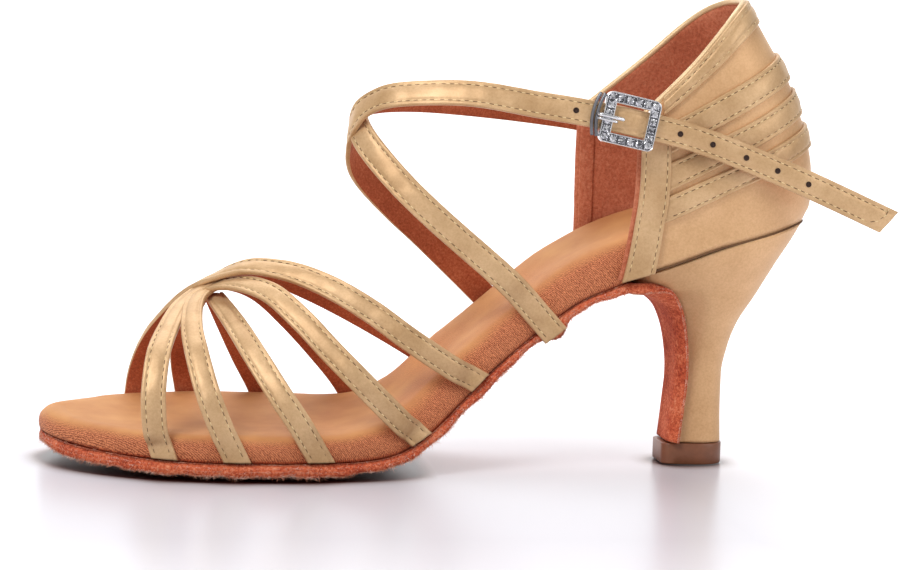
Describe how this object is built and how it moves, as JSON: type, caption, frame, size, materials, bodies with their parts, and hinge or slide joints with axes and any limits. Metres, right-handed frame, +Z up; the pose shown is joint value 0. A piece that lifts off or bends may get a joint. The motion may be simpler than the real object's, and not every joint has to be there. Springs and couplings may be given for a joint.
{
  "type": "ballroom dance shoe",
  "caption": "Left open ballroom dance sandal with a fan of satin vamp straps, a crossed ankle strap with a buckle, a closed heel cup and a flared heel.",
  "frame": {"origin": "middle of the heel tip's flat face on the floor", "axes": "+X from the toe to the heel, -Y to the outer side of the foot, +Z up from the floor"},
  "size_m": [0.2464, 0.0738, 0.1392],
  "materials": {
    "suede": "rough suede",
    "footbed": "matte microfibre",
    "satin": "satin weave",
    "heel_tip": "smooth",
    "metal": "polished"
  },
  "bodies": {
    "root": {"outsole": "suede", "insole": "footbed", "heel": "satin", "heel_tip": "heel_tip", "counter": "satin", "vamp_straps": "satin", "ankle_straps": "satin", "buckle_frame": "metal", "buckle_prong": "metal"}
  },
  "joints": []
}
